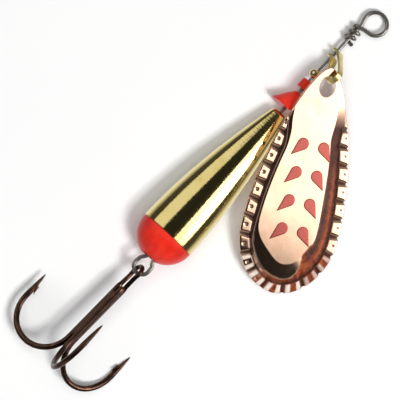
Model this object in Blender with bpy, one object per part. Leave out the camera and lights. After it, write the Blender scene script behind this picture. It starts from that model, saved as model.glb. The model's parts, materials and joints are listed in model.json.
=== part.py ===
"""Inline spinner: a weighted, bladed fishing lure threaded on one steel wire.

Lengths are in millimetres until they enter a mesh. The shaft's own frame has X along the wire
towards the line eye, Y across and Z up, and starts where the gold body meets its red tail cap.
The lure lies on a table at Z = 0, so the shaft slopes down towards the line eye.
"""

from math import asin, atan2, cos, hypot, pi, radians, sin, sqrt

import bmesh
import bpy
from mathutils import Matrix, Vector

MM = 0.001

# Body, which sets the scale of everything else
BODY_RADIUS = 5.0
BODY_LENGTH = 27.4
NOSE_RADIUS = 1.4
CONE_RADIUS = 3.0
CONE_BASE = 28.5
CONE_LENGTH = 3.4
TUBE_START = 32.75
TUBE_LENGTH = 1.7
TUBE_RADIUS = 1.13
BEAD_CENTRE = 36.05
BEAD_HALF_LENGTH = 0.75
BEAD_RADIUS = 1.1

# Wires and the holes that run on them
WIRE_RADIUS = 0.34
RUNNING_GAP = 0.08
BORE_RADIUS = WIRE_RADIUS + RUNNING_GAP

# Where the lure lies: the body's belly and the cone's rim rest on the table
BODY_CONTACT = (8.149, 4.6350)
CONE_CONTACT = (CONE_BASE + 0.3, CONE_RADIUS)
SHAFT_PITCH = atan2(BODY_CONTACT[1] - CONE_CONTACT[1], CONE_CONTACT[0] - BODY_CONTACT[0])
SHAFT_HEIGHT = BODY_CONTACT[1] * cos(SHAFT_PITCH) + BODY_CONTACT[0] * sin(SHAFT_PITCH)
PLAN_CENTRE = (10.9665, -6.1255)

# Tail loop, which carries the treble hook
TAIL_LOOP_CENTRE = (-6.6, -0.48)
TAIL_LOOP_RADIUS = 1.36
RETURN_LEG_OFFSET = -1.2
RETURN_LEG_END = -0.8
LOOP_WELL_RADIUS = 1.7
LOOP_WELL_DEPTH = 5.1

# Line eye and the wire wrapped behind it
EYE_CENTRE = (49.0, -1.58)
EYE_RADIUS = 1.97
EYE_START = 105
EYE_END = -165
WRAP_START = 46.7
WRAP_PITCH = 1.06
WRAP_TURN = 1000
WRAP_RADIUS = 2 * WIRE_RADIUS + 0.05

# Clevis, a strip folded over the blade's hole with its two ears on the wire
EAR_RADIUS = 0.93
EAR_HOLE_RADIUS = BORE_RADIUS + 0.02
EAR_NOSE = 41.35
EAR_TAIL = 40.05
LEG_HALF_WIDTH = 0.88
STRIP_HALF_WIDTH = 0.54
STRIP_THICKNESS = 0.4
BEND_RADIUS = 1.35

# Blade, measured from its narrow end
BLADE_LENGTH = 38.3
BLADE_HALF_WIDTH = 8.5
BLADE_WIDEST = 28.0
BLADE_THICKNESS = 0.5
BLADE_DEPTH = 0.5
BLADE_DROOP = 0.004
DROOP_START = 24.0
FLANGE_WIDTH = 1.5
SPINE_START = 4.5
SPINE_END = 28.0
RIM_STEPS = 72
OUTER, INNER = 1, -1
RIB_LINE = 1.75
FIRST_RIB = {OUTER: 10.5, INNER: 12.7}
RIBS_BETWEEN = 19
HOLE_CENTRE = 3.25
HOLE_HALF_LENGTH = 1.8
HOLE_HALF_WIDTH = 1.45
# The blade swings about the middle of the clevis's bend: its place on the blade, and in the plan
HINGE_ON_BLADE = (1.1, 0.62)
HINGE_POINT = (37.72, -2.2, 5.85)
BLADE_YAW = 29.0
BLADE_PITCH = 4.4
BLADE_ROLL = 18.5
RIB_DEPTH = 0.22

# Treble hook, measured from the point where it hangs on the tail loop
HOOK_HANG = -0.48
HOOK_WIRE = 0.475
HOOK_EYE_WIRE = 0.38
HOOK_EYE_RADIUS = 1.25
HOOK_EYE_TILT = -65
HOOK_EYE_OPEN = 125
HOOK_STRAND_OFFSET = 0.6
HOOK_BEND_RADIUS = 5.33
HOOK_BEND_START = -15.1
HOOK_POINT = -10.4
HOOK_TAPER = 4.0
HOOK_YAW = -1.5
HOOK_PITCH = 5.94
HOOK_ANGLES = {"right": 127, "left": -113, "top": 10}

WIRE_SIDES = 12
TURN_SIDES = 32


def clear_scene():
    for thing in list(bpy.data.objects):
        bpy.data.objects.remove(thing, do_unlink=True)


def material(name, colour, roughness, metallic):
    made = bpy.data.materials.new(name)
    made.use_nodes = True
    shader = made.node_tree.nodes["Principled BSDF"]
    shader.inputs["Base Color"].default_value = (*colour, 1)
    shader.inputs["Roughness"].default_value = roughness
    shader.inputs["Metallic"].default_value = metallic
    return made


def finish(name, bm, look, parent=None, sharp_from=35):
    """Turns a bmesh, in millimetres, into a named object with one material."""
    bmesh.ops.recalc_face_normals(bm, faces=bm.faces)
    bmesh.ops.scale(bm, vec=(MM, MM, MM), verts=bm.verts)
    mesh = bpy.data.meshes.new(name)
    bm.to_mesh(mesh)
    bm.free()
    mesh.materials.append(look)
    mesh.shade_smooth()
    mesh.set_sharp_from_angle(angle=radians(sharp_from))
    thing = bpy.data.objects.new(name, mesh)
    bpy.context.collection.objects.link(thing)
    thing.parent = parent
    return thing


def empty(name, matrix):
    made = bpy.data.objects.new(name, None)
    bpy.context.collection.objects.link(made)
    made.matrix_world = matrix
    return made


def lathe(profile, sides=TURN_SIDES):
    """Turns a closed outline of (x, radius) points about the X axis."""
    bm = bmesh.new()
    rings = []
    for i in range(sides):
        turn = 2 * pi * i / sides
        rings.append([bm.verts.new((x, r * cos(turn), r * sin(turn))) for x, r in profile])
    for i, ring in enumerate(rings):
        bridge(bm, ring, rings[(i + 1) % sides])
    return bm


def bridge(bm, first, second):
    """Joins two closed loops of the same length with a band of quads."""
    count = len(first)
    for i in range(count):
        j = (i + 1) % count
        bm.faces.new((first[i], first[j], second[j], second[i]))


def arc(centre, radius, start, end, steps):
    """Points in a plane from one angle to another, in degrees."""
    points = []
    for i in range(steps + 1):
        angle = radians(start + (end - start) * i / steps)
        points.append((centre[0] + radius * cos(angle), centre[1] + radius * sin(angle)))
    return points


def bezier(p0, p1, p2, p3, steps):
    """Points on a cubic curve, without the last one."""
    points = []
    for i in range(steps):
        u = i / steps
        v = 1 - u
        weights = (v**3, 3 * v * v * u, 3 * v * u * u, u**3)
        points.append(tuple(
            sum(w * p[axis] for w, p in zip(weights, (p0, p1, p2, p3)))
            for axis in range(len(p0))
        ))
    return points


def smooth_path(points, steps):
    """A Catmull-Rom curve through the given points."""
    points = [Vector(p) for p in points]
    padded = [2 * points[0] - points[1], *points, 2 * points[-1] - points[-2]]
    path = []
    for a, b, c, d in zip(padded, padded[1:], padded[2:], padded[3:]):
        for i in range(steps):
            u = i / steps
            path.append(
                b + (c - a) * u / 2
                + (2 * a - 5 * b + 4 * c - d) * u**2 / 2
                + (3 * b - 3 * c + d - a) * u**3 / 2
            )
    path.append(points[-1])
    return path


def sweep(bm, path, radii, side, sides=WIRE_SIDES):
    """A round wire along a path. side is the direction that each ring's first corner faces."""
    path = [Vector(p) for p in path]
    rings = []
    side = Vector(side)
    for i, here in enumerate(path):
        before = path[max(i - 1, 0)]
        after = path[min(i + 1, len(path) - 1)]
        along = (after - before).normalized()
        side = (side - along * side.dot(along)).normalized()
        other = along.cross(side)
        ring = []
        for k in range(sides):
            turn = 2 * pi * k / sides
            out = side * cos(turn) + other * sin(turn)
            ring.append(bm.verts.new(here + out * radii[i]))
        rings.append(ring)
    for first, second in zip(rings, rings[1:]):
        bridge(bm, first, second)
    bm.faces.new(rings[0])
    bm.faces.new(rings[-1])
    return rings


def shaft_wire_path():
    """Return leg, tail loop, straight shaft, line eye and wrap, in one run of wire."""
    lx, ly = TAIL_LOOP_CENTRE
    leg = [(x, RETURN_LEG_OFFSET) for x in (RETURN_LEG_END, -2.8, -4.7)]
    leg.append((lx + 0.9, ly - 0.97 * TAIL_LOOP_RADIUS))
    loop = arc(TAIL_LOOP_CENTRE, TAIL_LOOP_RADIUS, -90, -270, 12)
    home = [(lx + 1.0, ly + 0.9 * TAIL_LOOP_RADIUS), (-4.7, 0.12), (-3.6, 0.0)]
    flat = smooth_path([(x, y, 0) for x, y in leg], 3) + [(x, y, 0) for x, y in loop]
    flat += smooth_path([(x, y, 0) for x, y in home], 3)
    flat += [(x, 0, 0) for x in (5.0, 20.0, 35.0, 44.0, WRAP_START, WRAP_START + 0.7)]
    eye = arc(EYE_CENTRE, EYE_RADIUS, EYE_START, EYE_END, 24)
    for i, (x, y) in enumerate(eye):
        flat.append((x, y, WRAP_RADIUS * max(0.0, i / 12 - 1) * 0.75))
    flat.append((WRAP_START + 0.26, -1.0, WRAP_RADIUS * 0.95))
    for i in range(0, WRAP_TURN // 20 + 1):
        turn = radians(20 * i)
        flare = 0.2 * max(0.0, i - 46) / 4
        radius = WRAP_RADIUS + flare
        x = WRAP_START - WRAP_PITCH * turn / (2 * pi)
        flat.append((x, radius * sin(turn), radius * cos(turn)))
    return flat


def shaft_wire(shaft, look):
    bm = bmesh.new()
    path = shaft_wire_path()
    sweep(bm, path, [WIRE_RADIUS] * len(path), (0, 0, 1))
    return finish("shaft_wire", bm, look, shaft)


def drop_body(shaft, look):
    """Turned brass body: a blunt tail, a slow taper and a bore for the wire."""
    outline = [(0.0, 2.58), (0.0, 4.88), (0.12, BODY_RADIUS)]
    nose = (BODY_LENGTH - 0.5, NOSE_RADIUS + 0.1)
    curve = bezier((0.12, BODY_RADIUS), (9.5, 5.0), (19.0, 3.38), nose, 14)
    outline += curve[1:]
    outline += [nose, (BODY_LENGTH - 0.1, NOSE_RADIUS - 0.2), (BODY_LENGTH, NOSE_RADIUS - 0.5)]
    outline += [(BODY_LENGTH, BORE_RADIUS), (4.1, BORE_RADIUS), (4.1, 2.58)]
    return finish("drop_body", lathe(outline), look, shaft)


def tail_cap(shaft, look):
    """Red domed cap whose spigot plugs the body, with a well for the wire's return leg."""
    rim = BODY_RADIUS - 0.03
    start = asin(LOOP_WELL_RADIUS / rim)
    dome = []
    for i in range(11):
        angle = start + (pi / 2 - start) * i / 10
        dome.append((-0.06 - (rim - 0.06) * cos(angle), rim * sin(angle)))
    well_end = dome[0][0] + LOOP_WELL_DEPTH
    outline = [*dome, (-0.06, 2.5), (4.0, 2.5), (4.0, BORE_RADIUS), (well_end, BORE_RADIUS)]
    outline.append((well_end, LOOP_WELL_RADIUS))
    return finish("tail_cap", lathe(outline), look, shaft)


def cone_spacer(shaft, look):
    base, tip = CONE_BASE, CONE_BASE + CONE_LENGTH
    outline = [(base, BORE_RADIUS), (base, 2.7), (base + 0.1, 2.92), (base + 0.3, CONE_RADIUS)]
    outline += [(base + 0.55, 2.88), (tip - 1.0, 1.5), (tip - 0.45, 1.0), (tip - 0.1, 0.7)]
    outline += [(tip, 0.55), (tip, BORE_RADIUS)]
    return finish("cone_spacer", lathe(outline), look, shaft)


def tube_bead(shaft, look):
    start, end, radius, edge = TUBE_START, TUBE_START + TUBE_LENGTH, TUBE_RADIUS, 0.15
    outline = [(start, BORE_RADIUS), (start, radius - edge), (start + edge, radius)]
    outline += [(end - edge, radius), (end, radius - edge), (end, BORE_RADIUS)]
    return finish("tube_bead", lathe(outline, 24), look, shaft)


def brass_bead(shaft, look):
    outline = [(BEAD_CENTRE - BEAD_HALF_LENGTH, BORE_RADIUS)]
    for x, y in arc((0, 0), 1, 145, 35, 8):
        station = BEAD_CENTRE + BEAD_HALF_LENGTH * x / cos(radians(35))
        outline.append((station, BEAD_RADIUS * y))
    outline.append((BEAD_CENTRE + BEAD_HALF_LENGTH, BORE_RADIUS))
    return finish("brass_bead", lathe(outline, 24), look, shaft)


def hinge_in_shaft(shaft):
    """The blade's hinge point as (along the wire, distance from it, angle up from -Y)."""
    world = Vector(HINGE_POINT) - Vector((*PLAN_CENTRE, 0))
    local = shaft.matrix_world.inverted() @ (world * MM) / MM
    return local.x, hypot(local.y, local.z), atan2(local.z, -local.y)


def clevis_path(along, out):
    """The strip's route in its own plane: (along the wire, distance from the wire)."""
    centre = Vector((along, out))
    reach = (centre - Vector(((EAR_NOSE + EAR_TAIL) / 2, 0))).normalized()
    across = Vector((reach.y, -reach.x))
    nose_ear = [(EAR_NOSE, -EAR_RADIUS + 0.01 + 0.3 * i) for i in range(7)]
    tail_ear = [(EAR_TAIL, y) for _, y in reversed(nose_ear)]
    bend = []
    for i in range(9):
        turn = pi * i / 8
        bend.append(tuple(centre + BEND_RADIUS * (across * cos(turn) + reach * sin(turn))))
    return nose_ear + bend + tail_ear


def strip_half_width(out, bend_out):
    """Round ears, then legs that narrow towards the bend."""
    if out < 0.3:
        return max(0.12, sqrt(max(0.0, EAR_RADIUS**2 - out * out)))
    share = min(1.0, out / bend_out)
    return LEG_HALF_WIDTH + (STRIP_HALF_WIDTH - LEG_HALF_WIDTH) * share


def clevis(shaft, look):
    along, out, lift = hinge_in_shaft(shaft)
    path = [Vector((x, y, 0)) for x, y in clevis_path(along, out)]
    bm = bmesh.new()
    rings = []
    for i, here in enumerate(path):
        ahead = (path[min(i + 1, len(path) - 1)] - path[max(i - 1, 0)]).normalized()
        thick = Vector((-ahead.y, ahead.x, 0)) * STRIP_THICKNESS / 2
        half = strip_half_width(here.y, out - BEND_RADIUS)
        wide = Vector((0, 0, half))
        corners = (thick + wide, thick - wide, -thick - wide, wide - thick)
        rings.append([bm.verts.new(here + corner) for corner in corners])
    for first, second in zip(rings, rings[1:]):
        bridge(bm, first, second)
    bm.faces.new(rings[0])
    bm.faces.new(rings[-1])
    # Y of the path becomes the direction that the clevis leans out in
    turn = Matrix.Rotation(pi - lift, 4, "X")
    bmesh.ops.transform(bm, matrix=turn, verts=bm.verts)
    made = finish("clevis", bm, look, shaft)
    drill_ears(made, shaft)
    return made


def drill_ears(made, shaft):
    bm = bmesh.new()
    length = EAR_NOSE - EAR_TAIL + 1.6
    place = Matrix.Translation(((EAR_NOSE + EAR_TAIL) / 2, 0, 0)) @ Matrix.Rotation(pi / 2, 4, "Y")
    bmesh.ops.create_cone(
        bm, cap_ends=True, segments=24, radius1=EAR_HOLE_RADIUS, radius2=EAR_HOLE_RADIUS,
        depth=length, matrix=place,
    )
    cutter = finish("ear_drill", bm, made.data.materials[0], shaft)
    cutter.hide_render = True
    cutter.display_type = "WIRE"
    drill = made.modifiers.new("ear holes", "BOOLEAN")
    drill.operation = "DIFFERENCE"
    drill.solver = "EXACT"
    drill.object = cutter


def blade_outline():
    """One side of the blade from narrow end to round end, as (from the narrow end, half width)."""
    wide = (BLADE_WIDEST, BLADE_HALF_WIDTH)
    upper = bezier((0, 0), (0, 2.6), (14.0, BLADE_HALF_WIDTH), wide, 60)
    end = BLADE_LENGTH
    lower = bezier(wide, (BLADE_WIDEST + 5.5, BLADE_HALF_WIDTH), (end, 4.5), (end, 0), 60)
    return [*upper, *lower, (end, 0)]


def evenly(points, count):
    """The same line with its points evenly spaced."""
    lengths = [0.0]
    for a, b in zip(points, points[1:]):
        lengths.append(lengths[-1] + hypot(b[0] - a[0], b[1] - a[1]))
    spaced, k = [], 0
    for i in range(count + 1):
        want = lengths[-1] * i / count
        while k < len(points) - 2 and lengths[k + 1] < want:
            k += 1
        share = (want - lengths[k]) / (lengths[k + 1] - lengths[k])
        a, b = points[k], points[k + 1]
        spaced.append((a[0] + (b[0] - a[0]) * share, a[1] + (b[1] - a[1]) * share))
    return spaced, lengths[-1]


def ramp(value, low, high):
    share = min(1.0, max(0.0, (value - low) / (high - low)))
    return share * share * (3 - 2 * share)


def rim_section(x, side):
    """Height that the rim drops, and the widths of its flange and of the slope above it."""
    end = ramp(x, DROOP_START + 2, BLADE_LENGTH)
    if side == OUTER:
        drop = BLADE_DEPTH * ramp(x, 1.5, 7.0)
        flange = 0.1 + FLANGE_WIDTH * ramp(x, 6.5, 12.5)
        slope = 0.3 + 1.5 * ramp(x, 1.0, 8.0) + 0.75 * ramp(x, 10.0, 24.0) + 0.8 * end
    else:
        drop = BLADE_DEPTH * ramp(x, 7.5, 11.0)
        flange = 0.1 + FLANGE_WIDTH * ramp(x, 7.5, 15.0)
        slope = 0.25 + 0.6 * ramp(x, 7.5, 12.0) + 2.5 * end
    return drop, flange, slope


def rib_line(half, length):
    """Length along the line RIB_LINE in from the rim, where the ribs are evenly spaced."""
    stations = []
    for i in range(len(half)):
        before, after = half[max(i - 1, 0)], half[min(i + 1, len(half) - 1)]
        turned = pi / 2 - atan2(after[1] - before[1], after[0] - before[0])
        stations.append(length * i / RIM_STEPS - RIB_LINE * turned)
    return stations


def rib_turns(along, half_round, side):
    """Ribs counted round the rim; whole numbers are the middles of ribs."""
    pitch = (2 * half_round - FIRST_RIB[OUTER] - FIRST_RIB[INNER]) / RIBS_BETWEEN
    if side == OUTER:
        along = 2 * half_round - along
    return (along - FIRST_RIB[INNER]) / pitch


def blade_rings():
    """Loops from the rim to the raised panel: lists of (x, y, z) from the narrow end."""
    half, length = evenly(blade_outline(), RIM_STEPS)
    sides = [OUTER] * len(half) + [INNER] * (len(half) - 2)
    order = [*range(len(half)), *range(len(half) - 2, 0, -1)]
    line = rib_line(half, length)
    rings = [[], [], [], [], []]
    for side, i in zip(sides, order):
        x, y = half[i]
        spine = min(max(x, SPINE_START), SPINE_END)
        distance = hypot(x - spine, y)
        drop, flange, slope = rim_section(x, side)
        turns = rib_turns(line[i], line[-1], side)
        rib = RIB_DEPTH * ramp(x, 7.5, 10.0)
        wave = rib if abs(turns - round(turns)) < 0.3 else -rib
        levels = [(0.0, wave - drop), (flange * 0.75, wave - drop), (flange, -drop)]
        levels += [(flange + slope, 0.0), (flange + slope + 0.6, 0.0)]
        for ring, (inset, z) in zip(rings, levels):
            share = min(inset / distance, 0.8)
            station = x + (spine - x) * share
            droop = BLADE_DROOP * max(0.0, station - DROOP_START) ** 2
            ring.append((station, side * y * (1 - share), z - droop))
    return rings


def blade(hinge, look):
    """A stamped spoon: raised panel, sloping shoulder and crimped rim, with an oval hole."""
    bm = bmesh.new()
    loops = {}
    hinge_x, hinge_y = HINGE_ON_BLADE
    hole = []
    for x, y in arc((0, 0), 1, 0, 345, 23):
        hole.append((HOLE_CENTRE + HOLE_HALF_LENGTH * x, HOLE_HALF_WIDTH * y))
    for face, level in (("top", BLADE_THICKNESS / 2), ("bottom", -BLADE_THICKNESS / 2)):
        rings = []
        for ring in blade_rings():
            rings.append([bm.verts.new((x - hinge_x, y - hinge_y, z + level)) for x, y, z in ring])
        for outer, inner in zip(rings, rings[1:]):
            bridge(bm, outer, inner)
        oval = [bm.verts.new((x - hinge_x, y - hinge_y, level)) for x, y in hole]
        edges = [bm.edges.get((rings[-1][i], rings[-1][i - 1])) for i in range(len(rings[-1]))]
        edges += [bm.edges.new((oval[i], oval[i - 1])) for i in range(len(oval))]
        bmesh.ops.triangle_fill(bm, use_beauty=True, use_dissolve=False, edges=edges)
        loops[face] = rings[0], oval
    for top, bottom in zip(loops["top"], loops["bottom"]):
        bridge(bm, top, bottom)
    return finish("blade", bm, look, hinge, 30)


def blade_matrix():
    """Local X runs down the blade, Y towards its outer edge and Z out of its raised side."""
    yaw, pitch, roll = radians(BLADE_YAW), radians(BLADE_PITCH), radians(BLADE_ROLL)
    down = Vector((-cos(yaw) * cos(pitch), -sin(yaw) * cos(pitch), -sin(pitch)))
    flat_side = Vector((sin(yaw), -cos(yaw), 0))
    flat_up = down.cross(flat_side)
    outer = flat_side * cos(roll) - flat_up * sin(roll)
    up = down.cross(outer)
    turn = Matrix((down, outer, up)).transposed().to_4x4()
    place = Vector(HINGE_POINT) - Vector((*PLAN_CENTRE, 0))
    return Matrix.Translation(place * MM) @ turn


def strand(angle):
    """Where a hook's shank lies around the treble's middle, from straight up towards -Y."""
    return Vector((0, -sin(radians(angle)), cos(radians(angle))))


def hook_path(angle, front):
    """From the hook's point round the bend and up its shank to front, with radii."""
    out = strand(angle)
    gap = HOOK_STRAND_OFFSET
    middle = gap + HOOK_BEND_RADIUS
    outer = gap + 2 * HOOK_BEND_RADIUS
    path, radii = [], []
    reach = HOOK_BEND_START - HOOK_POINT
    for i in range(10):
        x = HOOK_POINT + reach * i / 10
        path.append((x, outer + 0.15 * (1 - i / 10) ** 2))
        radii.append(max(0.06, HOOK_WIRE * sqrt(min(1.0, (HOOK_POINT - x) / HOOK_TAPER))))
    for x, y in arc((HOOK_BEND_START, middle), HOOK_BEND_RADIUS, 90, 270, 16):
        path.append((x, y))
        radii.append(HOOK_WIRE)
    path.append((front, gap))
    radii.append(HOOK_WIRE)
    return [Vector((x, 0, 0)) + out * y for x, y in path], radii


def raise_barb(rings, out):
    """Lifts one corner of the wire near the point into a barb that faces the shank."""
    ring = rings[6]
    corner = min(ring, key=lambda v: v.co.dot(out))
    corner.co += -out * 0.65 + Vector((-1.0, 0, 0))


def treble_double(treble, look):
    """One wire: point, bend, shank, eye, shank, bend and point."""
    first, first_radii = hook_path(HOOK_ANGLES["left"], -3.4)
    second, second_radii = hook_path(HOOK_ANGLES["right"], -3.4)
    tilt = radians(HOOK_EYE_TILT)
    eye_side = Vector((0, cos(tilt), sin(tilt)))
    eye = []
    for x, y in arc((0, 0), HOOK_EYE_RADIUS, HOOK_EYE_OPEN, -HOOK_EYE_OPEN, 18):
        eye.append(Vector((x, 0, 0)) + eye_side * y)
    path = [*first, *eye, *reversed(second)]
    radii = [*first_radii, *[HOOK_EYE_WIRE] * len(eye), *reversed(second_radii)]
    bm = bmesh.new()
    rings = sweep(bm, path, radii, strand(HOOK_ANGLES["left"]))
    raise_barb(rings, strand(HOOK_ANGLES["left"]))
    raise_barb(list(reversed(rings)), strand(HOOK_ANGLES["right"]))
    return finish("treble_double_hook", bm, look, treble)


def treble_single(treble, look):
    """The third hook, brazed along the other two shanks."""
    path, radii = hook_path(HOOK_ANGLES["top"], -3.7)
    path.append(path[-1] + Vector((0.4, 0, 0)))
    radii.append(HOOK_WIRE * 0.5)
    bm = bmesh.new()
    rings = sweep(bm, path, radii, strand(HOOK_ANGLES["top"]))
    raise_barb(rings, strand(HOOK_ANGLES["top"]))
    return finish("treble_single_hook", bm, look, treble)


def shaft_matrix():
    place = Vector((-PLAN_CENTRE[0], -PLAN_CENTRE[1], SHAFT_HEIGHT)) * MM
    return Matrix.Translation(place) @ Matrix.Rotation(SHAFT_PITCH, 4, "Y")


def treble_matrix(shaft):
    """The treble hangs where its eye crosses the end of the tail loop."""
    fall = HOOK_HANG - TAIL_LOOP_CENTRE[1]
    along = TAIL_LOOP_CENTRE[0] - sqrt(TAIL_LOOP_RADIUS**2 - fall**2)
    point = shaft @ (Vector((along, HOOK_HANG, 0)) * MM)
    turn = Matrix.Rotation(radians(HOOK_YAW), 4, "Z") @ Matrix.Rotation(radians(HOOK_PITCH), 4, "Y")
    return Matrix.Translation(point) @ turn


def main():
    clear_scene()
    steel = material("stainless_wire", (0.42, 0.41, 0.39), 0.28, 1.0)
    gold = material("gold_plate", (0.83, 0.66, 0.24), 0.15, 1.0)
    copper = material("copper_plate", (0.86, 0.52, 0.34), 0.15, 1.0)
    brass = material("clevis_brass", (0.80, 0.66, 0.28), 0.25, 1.0)
    red = material("red_plastic", (0.84, 0.05, 0.02), 0.3, 0.0)
    bronze = material("bronzed_steel", (0.10, 0.06, 0.045), 0.25, 1.0)

    shaft = empty("shaft_line", shaft_matrix())
    hinge = empty("blade_hinge", blade_matrix())
    treble = empty("treble_hinge", treble_matrix(shaft_matrix()))
    shaft_wire(shaft, steel)
    drop_body(shaft, gold)
    tail_cap(shaft, red)
    cone_spacer(shaft, red)
    tube_bead(shaft, red)
    brass_bead(shaft, brass)
    clevis(shaft, brass)
    blade(hinge, copper)
    treble_double(treble, bronze)
    treble_single(treble, bronze)


main()
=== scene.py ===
import json
from math import asin, atan2, cos, degrees, hypot, pi, radians, sin, sqrt

import bmesh
import bpy
from mathutils import Matrix, Vector


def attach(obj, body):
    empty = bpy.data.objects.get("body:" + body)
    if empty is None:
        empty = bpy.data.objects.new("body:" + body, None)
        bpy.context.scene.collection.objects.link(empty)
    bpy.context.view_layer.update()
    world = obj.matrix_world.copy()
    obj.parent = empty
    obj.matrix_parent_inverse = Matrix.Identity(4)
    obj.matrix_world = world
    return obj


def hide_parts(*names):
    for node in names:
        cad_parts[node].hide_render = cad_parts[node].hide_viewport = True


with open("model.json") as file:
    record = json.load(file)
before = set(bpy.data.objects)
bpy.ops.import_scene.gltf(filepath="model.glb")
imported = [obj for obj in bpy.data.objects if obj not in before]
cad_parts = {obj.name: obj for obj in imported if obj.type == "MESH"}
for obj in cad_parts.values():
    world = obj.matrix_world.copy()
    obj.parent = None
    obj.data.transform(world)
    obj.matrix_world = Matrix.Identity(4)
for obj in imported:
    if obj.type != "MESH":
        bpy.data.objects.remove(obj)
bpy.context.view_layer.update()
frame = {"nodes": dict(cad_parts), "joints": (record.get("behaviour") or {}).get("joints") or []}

# The looks of an inline spinner that lies on a pale table. Lengths are in millimetres until they
# enter a mesh. Three local frames carry the pieces:
#   shaft: X along the wire towards the line eye, from where the gold body meets its red cap
#   blade: X down the blade, Y to its outer edge, Z out of its raised side, from its narrow end
#   treble: X along the hooks' shanks towards their eye, from the point where the treble hangs

MM = 0.001

# Wire
WIRE_RADIUS = 0.34
BORE_RADIUS = 0.42
TAIL_LOOP_CENTRE = (-6.6, -0.48)
TAIL_LOOP_RADIUS = 1.36
RETURN_LEG_OFFSET = -1.2
EYE_CENTRE = (49.0, -1.58)
EYE_RADIUS = 1.97
WRAP_START = 46.7
WRAP_PITCH = 1.06
WRAP_TURN = 1000
WRAP_RADIUS = 2 * WIRE_RADIUS + 0.05

# Body, cap, cone and beads
BODY_RADIUS = 5.0
BODY_LENGTH = 27.4
NOSE_RADIUS = 1.4
CONE_BASE = 28.5
CONE_RADIUS = 3.0
TUBE_ENDS = (32.75, 34.45)
TUBE_RADIUS = 1.13
BEAD_CENTRE = 36.05
BEAD_RADIUS = 1.1

# Clevis
EAR_RADIUS = 0.93
EAR_NOSE = 41.35
EAR_TAIL = 40.05
LEG_HALF_WIDTH = 0.88
STRIP_HALF_WIDTH = 0.54
STRIP_THICKNESS = 0.4
STRIP_EDGE = 0.12
BEND_RADIUS = 1.35

# Blade
BLADE_LENGTH = 38.3
BLADE_HALF_WIDTH = 8.5
BLADE_WIDEST = 28.0
BLADE_THICKNESS = 0.5
BLADE_DEPTH = 0.5
BLADE_DROOP = 0.004
DROOP_START = 24.0
FLANGE_WIDTH = 1.5
CREASE = 0.16
SPINE_START = 4.5
SPINE_END = 28.0
RIM_STEPS = 380
OUTER, INNER = 1, -1
RIB_LINE = 1.75
FIRST_RIB = {OUTER: 10.5, INNER: 12.7}
RIBS_BETWEEN = 19
RIB_DEPTH = 0.22
RIB_BULGE = 0.07
RIB_SLANT = 0.14
FLANGE_TILT = 0.14
DIMPLE_DEPTH = {OUTER: 0.056, INNER: 0.14}
DIMPLE_RADIUS = 0.3
DIMPLE_PLACE = 0.42
HOLE_CENTRE = 3.25
HOLE_HALF_LENGTH = 1.8
HOLE_HALF_WIDTH = 1.45
HINGE_ON_BLADE = (1.1, 0.62)
BLADE_YAW = 29.0
BLADE_PITCH = 4.4
BLADE_ROLL = 18.5

# Gradual changes down the blade: where each starts and ends, from the narrow end
RIBS_GROW = (7.5, 10.0)
FLANGE_TURNS = (28.0, 36.0)
# The dark and brown zones below are painted reflections; the last three set a pale painted highlight
# on the ribs
DARK_STARTS = (3.5, 10.0)
DARK_PATCH_ENDS = (14.0, 19.0)
DARK_LINE_ENDS = (33.0, 36.0)
SLOPE_BROWNS = (5.0, 12.0)
SLOPE_BROWN_ENDS = (35.0, 37.0)
GROOVES_BROWN = (10.0, 15.0)
RIM_BROWNS = (27.5, 31.5)
RIM_BROWN_NARROWS = (34.5, 38.2)
INNER_RIM_BROWNS = (35.5, 37.5)
INNER_RIB_HIGHLIGHTS = (32.5, 34.0)
OUTER_RIB_HALF_HIGHLIGHTS = (29.0, 31.0)
OUTER_RIB_HIGHLIGHTS = (36.2, 37.2)

# Painted drops: two columns of four on the raised panel
DROP_FIRST = 13.9
DROP_PITCH = 4.77
DROP_COLUMNS = (-2.3, 2.48)
DROP_LENGTH = 3.8
DROP_HEAD = 1.02
DROP_TURN = 38
DROP_ROWS = 4

# Treble hook
HOOK_WIRE = 0.475
HOOK_EYE_WIRE = 0.38
HOOK_EYE_RADIUS = 1.25
HOOK_EYE_TILT = -65
HOOK_EYE_OPEN = 125
HOOK_STRAND_OFFSET = 0.6
HOOK_BEND_RADIUS = 5.33
HOOK_BEND_START = -15.1
HOOK_POINT = -10.4
HOOK_TAPER = 4.0
DOUBLE_SHANKS_END = -3.4
SINGLE_SHANK_END = -3.7
HOOK_YAW = -1.5
HOOK_PITCH = 5.94
HOOK_ANGLES = {"right": 127, "left": -113, "top": 10}
BRAZE_START = -4.3
BRAZE_LENGTH = 10.6
BRAZE_RADIUS = 0.86

# Picture: what the camera looks at, in the plan of the shaft frame, and how its picture is turned
LOOK_AT = (7.83, -0.06)
LOOK_HEIGHT = 5.0
CAMERA_DISTANCE = 400
PICTURE_WIDTH = 65.6
SENSOR_WIDTH = 36
SHAFT_TURN_IN_PICTURE = 47.2

# Table and light panels, in metres
TABLE_RADIUS = 3.0
LIGHT_DISTANCE = 0.8


# ---------------------------------------------------------------- frames

def joint(name):
    return next(j for j in frame["joints"] if j["name"] == name)


def matrix_from(x, y, z, origin):
    return Matrix.Translation(origin) @ Matrix((x, y, z)).transposed().to_4x4()


def shaft_frame():
    """The wire's axis comes from the clevis's joint, and its start from the gold body's tail."""
    spin = joint("clevis_spin")
    along = Vector(spin["axis"]).normalized()
    point = Vector(spin["pos_m"])
    reached = [(v.co - point).dot(along) for v in frame["nodes"]["drop_body"].data.vertices]
    across = Vector((0, 1, 0))
    return matrix_from(along, across, along.cross(across), point + along * min(reached))


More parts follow.
